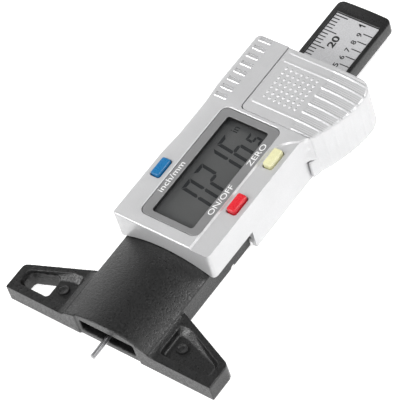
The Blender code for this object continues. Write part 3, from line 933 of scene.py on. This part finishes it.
def cover_row(build, y):
    """Vertices across the top of the cover, whose rims are rounded."""
    left, right = cover_left(y), cover_edge(y)
    ends = max(rim_drop(y - COVER_START, START_RIM), rim_drop(COVER_END - y, END_RIM))
    row = []
    for x in cover_columns(left, right):
        drop = rim_drop(right - x, SIDE_RIM) + max(ends, rim_drop(x - left, LEFT_RIM))
        row.append(build.verts.new((x, y, cover_height(x, y) - min(0.9, drop))))
    return row


def cover_wall(x, y, z):
    """Place on the cover's wall under (x, y): it carries the ribs down and is drawn in at its foot."""
    crests = [RIB_FIRST + RIB_PITCH * k + RIB_CREST for k in range(RIB_COUNT)]
    if x > 14:
        if min(abs(y - crest) for crest in crests) < 0.06 and x > 15:
            x += SIDE_RIB
        x -= 0.6 * max(0.0, COVER_FOOT - z)
    return x, y, z


def cover_skin():
    """Outer form of the cover: rows of points across it, then walls down to its lower edge."""
    build = bmesh.new()
    grid = [cover_row(build, y) for y in cover_rows()]
    for first, second in zip(grid, grid[1:]):
        for k in range(len(first) - 1):
            build.faces.new((first[k], first[k + 1], second[k + 1], second[k]))
    loop = grid[0][:-1] + [row[-1] for row in grid[:-1]]
    loop += grid[-1][:0:-1] + [row[0] for row in grid[:0:-1]]
    upper = loop
    for z in COVER_LEVELS:
        lower = [build.verts.new(cover_wall(vertex.co.x, vertex.co.y, z)) for vertex in loop]
        for k in range(len(loop)):
            n = (k + 1) % len(loop)
            build.faces.new((upper[k], upper[n], lower[n], lower[k]))
        upper = lower
    build.faces.new(upper)
    return object_from("sliding_cover", build)


def battery_cover(finish):
    cover = cover_skin()
    side = REAR_RIGHT + 0.3
    start, end = COVER_START + SKIN, COVER_END - SKIN
    hollow = [(side - 0.1, start)]
    hollow += [(cover_edge(y) - SKIN, y) for y in np.linspace(start, end, 12)]
    hollow += [(side - 0.1, end)]
    cut(
        cover,
        block("under", -20, side, 60, PAST_REAR, -5, TOP - 1.15),
        prism("bulge", hollow, 1.8, 11.4),
        block("rail_way", 13, 14.5, 60, start + 0.5, 4.7, 6.5),
    )
    dot = [(radius, COVER_TOP + z) for radius, z in DOT_PROFILE]
    dots = []
    for i in range(7):
        for j in range(7):
            at = (DOT_FIRST[0] + DOT_PITCH[0] * i, DOT_FIRST[1] + DOT_PITCH[1] * j, 0)
            dots.append(turned(f"dot_{i}_{j}", dot, at, sides=16))
    edge = (COVER_START + 1.5, COVER_END - 0.5)
    tab = [(14.3, 61.65, 0), (14.95, 61.65, 0.35), (15.5, 63.6, 0), (15.6, 65.0, 0), (14.3, 65.0, 0)]
    gather(
        cover,
        block("lip", -5.9, -3.9, *edge, 12.2, 12.7),
        block("riser", -4.5, -3.9, *edge, 12.2, 13.6),
        block("hook", side + 0.05, 17.0, 70.0, 81.5, 3.4, 4.7),
        prism("tab", rounded(tab), 0.6, 6.0, 0.25, 0.25),
        *dots,
    )
    publish(cover, "battery_lid", ["battery_cover"], finish, 24)


# -------- display

def display_frame(finish):
    outer = box_outline(BEZEL_LOW.x, BEZEL_HIGH.x, FRAME_START, FRAME_END, 1.8)
    bezel = prism("display_frame", outer, 12.7, BEZEL_HIGH.z, 0.18)
    view = box_outline(-VIEW_HALF, VIEW_HALF, VIEW_START, VIEW_END, 0.75)
    cut(
        bezel,
        flared("view", view, 11, BEZEL_HIGH.z, 0.1, 0.1),
        block("rebate", -6.75, 6.75, VIEW_START - 0.8, VIEW_END + 0.8, 11, 13.4),
    )
    flange = prism("flange", box_outline(-8.3, 8.3, 27.0, 62.55, 1.0), 12.3, 12.72)
    cut(flange, block("flange_way", -7.0, 7.0, 28.0, 61.5, 11, 14))
    gather(bezel, flange)
    publish(bezel, "gauge_body", ["lcd_bezel"], finish)


def display_liner(finish):
    """Black wall inside the display opening: painted shade, a dark sheet laid over the grey bezel's inner
    wall where its shadow falls.
    """
    gap = 0.01
    half = VIEW_HALF - gap
    outer = box_outline(-half, half, VIEW_START + gap, VIEW_END - gap, 0.74)
    shade_wall = prism("display_liner", outer, WINDOW_HIGH.z + 0.02, BEZEL_HIGH.z - 0.16)
    cut(shade_wall, prism("shade_wall_view", inset(outer, 0.1), 11, PAST_TOP))
    publish(shade_wall, "gauge_body", [], finish)


def display_window(finish):
    outline = box_outline(WINDOW_LOW.x, WINDOW_HIGH.x, WINDOW_LOW.y, WINDOW_HIGH.y, 0.4)
    window = prism("display_window", outline, WINDOW_LOW.z, WINDOW_HIGH.z, 0.06)
    publish(window, "gauge_body", ["lcd_window"], finish)


def digit(name, figure, at, size):
    """Seven-segment figure that reads along +Y, with its top towards -X."""
    w, h, thick = size
    t = thick / 2
    gap = thick * 0.16
    tip, short = w - gap, w - t - gap
    shapes = {"g": [(0, -tip), (t, -short), (t, short), (0, tip), (-t, short), (-t, -short)]}
    for key, end in (("a", -1), ("d", 1)):
        outer, inner = end * (h + t), end * (h - t)
        far, near = end * (w + t - gap), end * short
        shapes[key] = [(outer, far), (outer, -far), (inner, -near), (inner, near)]
    for key, side, end in (("b", 1, -1), ("c", 1, 1), ("e", -1, 1), ("f", -1, -1)):
        outer, inner = side * (w + t), side * (w - t)
        shapes[key] = [
            (end * gap, side * w), (end * (t + gap), inner), (end * (h - t - gap), inner),
            (end * (h + t - gap), outer), (end * (t * 0.4 + gap), outer),
        ]
    parts = []
    for key in SEGMENTS[figure]:
        outline = [(at[0] + x, at[1] + y - FIGURE_SLANT * x) for x, y in shapes[key]]
        parts.append(loft(f"{name}_{key}", [at_height(outline, z) for z in (INK_LOW, INK_HIGH)]))
    return parts


def display_panel(glass, ink):
    outline = box_outline(PANEL_LOW.x, PANEL_HIGH.x, PANEL_LOW.y, PANEL_HIGH.y, 0.2)
    panel = prism("display_panel", outline, PANEL_LOW.z, INK_LOW, 0.05)
    publish(panel, "gauge_body", ["lcd_panel"], glass)
    parts = []
    for k, (figure, y) in enumerate((("0", 39.75), ("2", 44.6), ("1", 49.3), ("6", 54.05))):
        parts += digit(f"figure_{k}", figure, (0.35, y), LARGE_FIGURE)
    parts += digit("figure_4", "5", (2.55, 58.2), SMALL_FIGURE)
    unit = lettering("unit", "in", -4.25, -2.45, 57.9, 59.5, INK_LOW, INK_HIGH)
    gather(parts[0], unit, *parts[1:])
    parts[0].name = "display_figures"
    publish(parts[0], "gauge_body", [], ink)


def legends(finish):
    low, high = BEZEL_HIGH.z - 0.03, BEZEL_HIGH.z + 0.03
    words = [
        lettering("bezel_legends", "inch/mm", -8.15, -6.7, 34.6, 44.0, low, high),
        lettering("word_on", "ON/OFF", 6.35, 7.75, 34.5, 43.7, low, high),
        lettering("word_zero", "ZERO", 6.35, 7.75, 50.2, 57.0, low, high),
    ]
    gather(words[0], *words[1:])
    publish(words[0], "gauge_body", [], finish)


# -------- buttons

def button(name, finish):
    at = BUTTON_AT[name]
    top = extent(f"button_{name}")[1].z
    cap = prism(f"{name}_cap", box_about(at, CAP_HALF, 0.5), 12.4, top, 0.34, steps=6)
    flange = prism(f"{name}_flange", box_about(at, (CAP_HALF[0], 3.3), 0.3), 11.9, 12.65)
    stem = turned(f"{name}_stem", [(0.8, 8.3), (0.8, 12.0)], (*at, 0))
    gather(cap, flange, stem)
    publish(cap, f"{name}_key", [f"button_{name}"], finish, 40)


# -------- slide

def slide_bar(finish):
    half = BEAM_HIGH.x
    end = BEAM_HIGH.y
    outline = [(-half, BEAM_LOW.y), (half, BEAM_LOW.y)]
    outline += rounded([(half, BEAM_LOW.y, 0), (half, end - 0.18, 1.7), (0, end - 0.02, 0)])[1:-1]
    outline += bend((half - 1.9, end - 0.13), (0, end + 0.1), (-half + 1.9, end - 0.13), 12)[1:]
    outline += rounded([(0, end - 0.02, 0), (-half, end - 0.18, 1.7), (-half, BEAM_LOW.y, 0)])[1:-1]
    bar = prism("slide_bar", outline, BEAM_LOW.z, BEAM_HIGH.z, 0.22, 0.2)
    gap = 0.16
    field = box_outline(
        LABEL_LOW.x - gap, LABEL_HIGH.x + gap, LABEL_LOW.y - 0.2, LABEL_HIGH.y + gap, 0.25,
    )
    seat = [(0.95, BEAM_LOW.y - 1), (0.95, PIN_HIGH.y + 0.3)]
    cut(
        bar,
        flared("label_bed", field, 3.9, BEAM_HIGH.z, 0.1, 0.12),
        turned("pin_seat", seat, (0, 0, PIN_HEIGHT), axis="Y"),
    )
    publish(bar, "slide", ["beam"], finish)


def scale_marks(low, high):
    """Lines of the scale: a line each millimetre on the left, a tenth of an inch on the right."""
    marks = []
    for k in range(26):
        y = SCALE_ZERO + k
        marks.append(block(f"mm_{k}", -6.15, -2.5 if k % 5 == 0 else -4.3, y - 0.15, y + 0.15, low, high))
    for k in range(10):
        y = SCALE_ZERO + TENTH * k
        marks.append(block(f"inch_{k}", 3.5, 6.15, y - 0.14, y + 0.14, low, high))
    return marks


def scale_numbers(low, high):
    """Numbers beside the lines. The 1 that stands for an inch is drawn as a stem with a flag."""
    numbers = []
    for k in range(1, 10):
        y = SCALE_ZERO + TENTH * k - 0.68
        numbers.append(lettering(f"tenth_{k}", str(k), 2.1, 3.5, y - 0.55, y + 0.55, low, high, 0.015))
    flag = [(0.9, 102.15), (1.55, 101.62), (1.85, 101.78), (1.35, 102.3)]
    numbers.append(block("inch_one_stem", 0.85, 2.75, 102.13, 102.48, low, high))
    numbers.append(prism("inch_one_flag", flag, low, high))
    for k in (10, 20):
        y = SCALE_ZERO + k - 2.35
        numbers.append(lettering(f"mm_{k}", str(k), -2.65, -0.75, y - 1.85, y + 1.85, low, high, 0.03))
    return numbers


def scale_sticker(finish, ink):
    outline = box_outline(LABEL_LOW.x, LABEL_HIGH.x, LABEL_LOW.y, LABEL_HIGH.y, 0.15)
    sticker = prism("scale_sticker", outline, LABEL_LOW.z, LABEL_HIGH.z, 0.03)
    publish(sticker, "slide", ["scale_label"], finish)
    low, high = LABEL_HIGH.z - 0.02, LABEL_HIGH.z + 0.02
    marks = scale_marks(low, high) + scale_numbers(low, high)
    gather(marks[0], *marks[1:])
    marks[0].name = "scale_print"
    publish(marks[0], "slide", [], ink)


def measuring_pin(finish):
    radius = PIN_HIGH.x
    tip = PIN_LOW.y
    profile = [(radius - 0.2, tip), (radius - 0.09, tip + 0.03), (radius - 0.02, tip + 0.11)]
    profile += [(radius, tip + 0.22), (radius, PIN_HIGH.y)]
    pin = turned("measuring_pin", profile, (0, 0, PIN_HEIGHT), axis="Y", sides=64)
    publish(pin, "slide", ["probe_pin"], finish, 50)


# -------- screws

def screw(node, low, head, finish):
    """Pan-head screw standing on its head, with a cross recess."""
    least, most = extent(node)
    x, y = (least.x + most.x) / 2, (least.y + most.y) / 2
    high = most.z
    core, crest, rim = 0.5, 0.65, 1.5
    pitch = 0.5
    profile = [(0.7, low), (1.15, low + 0.06), (1.4, low + 0.2), (rim, low + 0.4)]
    profile += [(rim, low + head), (crest, low + head)]
    for k in range(int((high - low - head - 0.6) / pitch)):
        z = low + head + 0.1 + pitch * k
        profile += [(crest, z), (core, z + pitch / 2)]
    profile += [(core, high - 0.4), (0.12, high)]
    body = turned(f"{node}_turned", profile, (x, y, 0), sides=36)
    long, wide = 0.85, 0.17
    recess = (low - 1, low + 0.45)
    cut(
        body,
        block("cross_a", x - long, x + long, y - wide, y + wide, *recess),
        block("cross_b", x - wide, x + wide, y - long, y + long, *recess),
    )
    publish(body, "gauge_body", [node], finish)


# -------- stage

CAMERA_AIM = (-1.858, 40.508, 7.0)
CAMERA_AZIMUTH = 51.699
CAMERA_ELEVATION = 50.809
CAMERA_ROLL = -19.624
CAMERA_DISTANCE = 686.37
CAMERA_LENS = 266.22
CAMERA_SENSOR = 36.0
CAMERA_CLIP = (0.05, 10.0)
LIGHT_TARGET = (0, 45, 5)
LIGHT_DISTANCE = 0.6
SOFTBOXES = (  # name, direction from the gauge, side in metres, glow
    ("right_panel", (0.86, 0.3, 0.42), 0.3, 1.8),
    ("overhead_panel", (0.45, 0.39, 0.8), 0.16, 15.0),
    ("left_panel", (-0.88, 0.39, 0.3), 0.5, 1.35),
    ("front_panel", (-0.45, -0.65, 0.6), 0.23, 11.0),
    ("front_right_panel", (0.45, -0.62, 0.64), 0.13, 9.0),
    ("top_panel", (0.15, -0.3, 0.94), 0.3, 4.0),
)
FLOOR_HALF = 1.5
FLOOR_DROP = 0.0001
FLOOR_TONE = 0.9
FLOOR_GLOW = 0.62
WORLD_GLOW = 0.22
WHITE = (1, 1, 1, 1)


def in_frame(point):
    return Vector((point[0], point[1] + ORIGIN_Y, point[2])) * MM


def aim(obj, place, target):
    obj.location = place
    obj.rotation_euler = (target - place).to_track_quat("-Z", "Y").to_euler()


def camera():
    azimuth, elevation = math.radians(CAMERA_AZIMUTH), math.radians(CAMERA_ELEVATION)
    away = Vector((
        math.sin(azimuth) * math.cos(elevation),
        -math.cos(azimuth) * math.cos(elevation),
        math.sin(elevation),
    ))
    data = bpy.data.cameras.new("photo_view")
    data.lens = CAMERA_LENS
    data.sensor_width = CAMERA_SENSOR
    data.clip_start, data.clip_end = CAMERA_CLIP
    obj = new_object("photo_view", data)
    target = in_frame(CAMERA_AIM)
    roll = Matrix.Rotation(math.radians(CAMERA_ROLL), 3, "Z").to_quaternion()
    obj.rotation_euler = (away.to_track_quat("Z", "Y") @ roll).to_euler()
    obj.location = target + away * CAMERA_DISTANCE * MM
    bpy.context.scene.camera = obj


def softbox(name, direction, size, glow):
    """Square light of a given size, seen from the gauge along a direction, with an even glow."""
    data = bpy.data.lights.new(name, "AREA")
    data.shape = "SQUARE"
    data.size = size
    data.energy = glow * math.pi * size**2
    obj = new_object(name, data)
    centre = in_frame(LIGHT_TARGET)
    aim(obj, centre + Vector(direction).normalized() * LIGHT_DISTANCE, centre)


def studio():
    """Glowing white floor under a pale sky, with softboxes."""
    build = bmesh.new()
    outline = box_outline(-FLOOR_HALF, FLOOR_HALF, -FLOOR_HALF, FLOOR_HALF)
    build.faces.new([build.verts.new(corner) for corner in at_height(outline, 0)])
    floor = object_from("studio_floor", build)
    finish = Finish("pale floor", 0.9)
    finish.color((FLOOR_TONE, FLOOR_TONE, FLOOR_TONE))
    finish.shader.inputs["Emission Color"].default_value = WHITE
    finish.shader.inputs["Emission Strength"].default_value = FLOOR_GLOW
    floor.data.materials.append(finish.material)
    floor.location.z = -FLOOR_DROP
    world = bpy.data.worlds.new("studio")
    world.use_nodes = True
    sky = world.node_tree.nodes["Background"]
    sky.inputs["Color"].default_value = WHITE
    sky.inputs["Strength"].default_value = WORLD_GLOW
    bpy.context.scene.world = world
    for name, direction, size, glow in SOFTBOXES:
        softbox(name, direction, size, glow)
    bpy.context.scene.view_settings.view_transform = "Standard"


# -------- assembly

black = moulded_plastic("black moulding", (0.004, 0.004, 0.0041), 0.37, 0.4, 0.085, 0.5)
beam_black = moulded_plastic("slide black", (0.005, 0.005, 0.0051), 0.36, 0.36, 0.03, 0.3)
silver = silver_paint("silver paint", 0.63)
silver_cover = silver_paint("silver cover", 0.63)
silver_back = silver_paint("silver back", 0.6, 0.4)
grey = moulded_plastic("grey bezel", (0.2, 0.2, 0.202), 0.45, 0.2, 0.005, 0.1)
# near-black for the sheet inside the display opening: painted shade standing for the shadow on the bezel's
# inner wall
painted_shade_black = moulded_plastic("painted shade black", (0.012, 0.012, 0.012), 0.6, 0.2, 0.004, 0.2)
steel = metal("screw steel", (0.5, 0.5, 0.51), 0.32, grain=0.2, depth=0.001)
chrome = metal("pin steel", (0.42, 0.42, 0.43), 0.26, (1, 0.04, 1), 0.3, 0.0001)
bronze = metal("spring bronze", (0.62, 0.42, 0.2), 0.32, (1, 0.2, 1))
battery_steel = metal("battery steel", (0.5, 0.5, 0.5), 0.34, (1, 0.3, 1), 0.2, 0.0006)
rubber = moulded_plastic("connector rubber", (0.03, 0.03, 0.03), 0.75, 0.25, 0.01)
epoxy = gloss_plastic("chip epoxy", (0.012, 0.012, 0.012), 0.3)
board = laminate("board laminate")

foot_base(black)
housing_shell(silver)
back_plate(silver_back)
battery_cover(silver_cover)
display_frame(grey)
# black sheet over the display opening's inner wall: painted shade
display_liner(painted_shade_black)
display_window(clear_window("clear window"))
display_panel(display_glass("display glass"), printed("display figures", (0.002, 0.002, 0.002), 0.6))
legends(printed("white print", (0.86, 0.86, 0.86)))
for name, slot, color in (
    ("inch_mm", "blue_button", (0.008, 0.15, 0.36)),
    ("on_off", "red_button", (0.66, 0.018, 0.03)),
    ("zero", "yellow_button", (0.72, 0.7, 0.42)),
):
    button(name, gloss_plastic(f"{name} button", color))
slide_bar(beam_black)
scale_sticker(printed("scale silver", (0.52, 0.52, 0.53), 0.42), printed("scale ink", (0.012, 0.012, 0.012)))
measuring_pin(chrome)
for k in range(1, 5):
    screw(f"back_screw_{k}", 0.05, 0.7, steel)
for side in ("left", "right"):
    screw(f"foot_screw_{side}", 0.3, 0.9, steel)

INNER_NODES = (
    (board, "circuit_board", "scale_board"),
    (epoxy, "chip_cover"),
    (battery_steel, "battery"),
    (bronze, "battery_contact_negative", "battery_contact_positive", "beam_leaf_spring"),
    (rubber, "zebra_strip_left", "zebra_strip_right"),
    (steel, "dome_inch_mm", "dome_on_off", "dome_zero", "board_screw_1", "board_screw_2"),
)
for finish, *nodes in INNER_NODES:
    for node in nodes:
        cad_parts[node].data.materials.clear()
        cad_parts[node].data.materials.append(finish)

camera()
studio()
